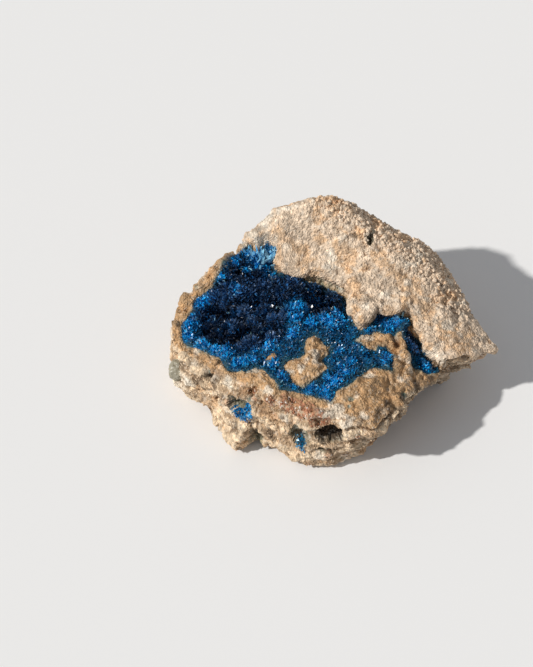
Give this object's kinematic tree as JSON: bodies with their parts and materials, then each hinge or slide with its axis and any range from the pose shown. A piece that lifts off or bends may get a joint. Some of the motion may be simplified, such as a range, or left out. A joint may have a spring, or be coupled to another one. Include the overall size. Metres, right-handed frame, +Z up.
{
  "type": "mineral specimen",
  "caption": "Natural mineral specimen: a humped tan rock with a pointed end, its hollow top lined with a crust of small dark to bright blue crystals, resting on a flat underside.",
  "frame": {"origin": "middle of the flat underside the specimen rests on", "axes": "+X along the specimen towards its pointed end, +Y from the broken front wall with the pits towards the humped back, +Z up"},
  "size_m": [0.05, 0.0406, 0.023],
  "materials": {
    "host_rock": "matt, crumbly, iron-stained",
    "blue_crystal": "glassy small crystals, dark to bright blue",
    "quartz": "glassy, cloudy, slightly see-through"
  },
  "bodies": {
    "root": {"host_rock": "host_rock", "druse_main": "blue_crystal", "druse_groove": "blue_crystal", "druse_vug_left": "blue_crystal", "druse_vug_front": "blue_crystal", "quartz_nodule": "quartz"}
  },
  "joints": []
}
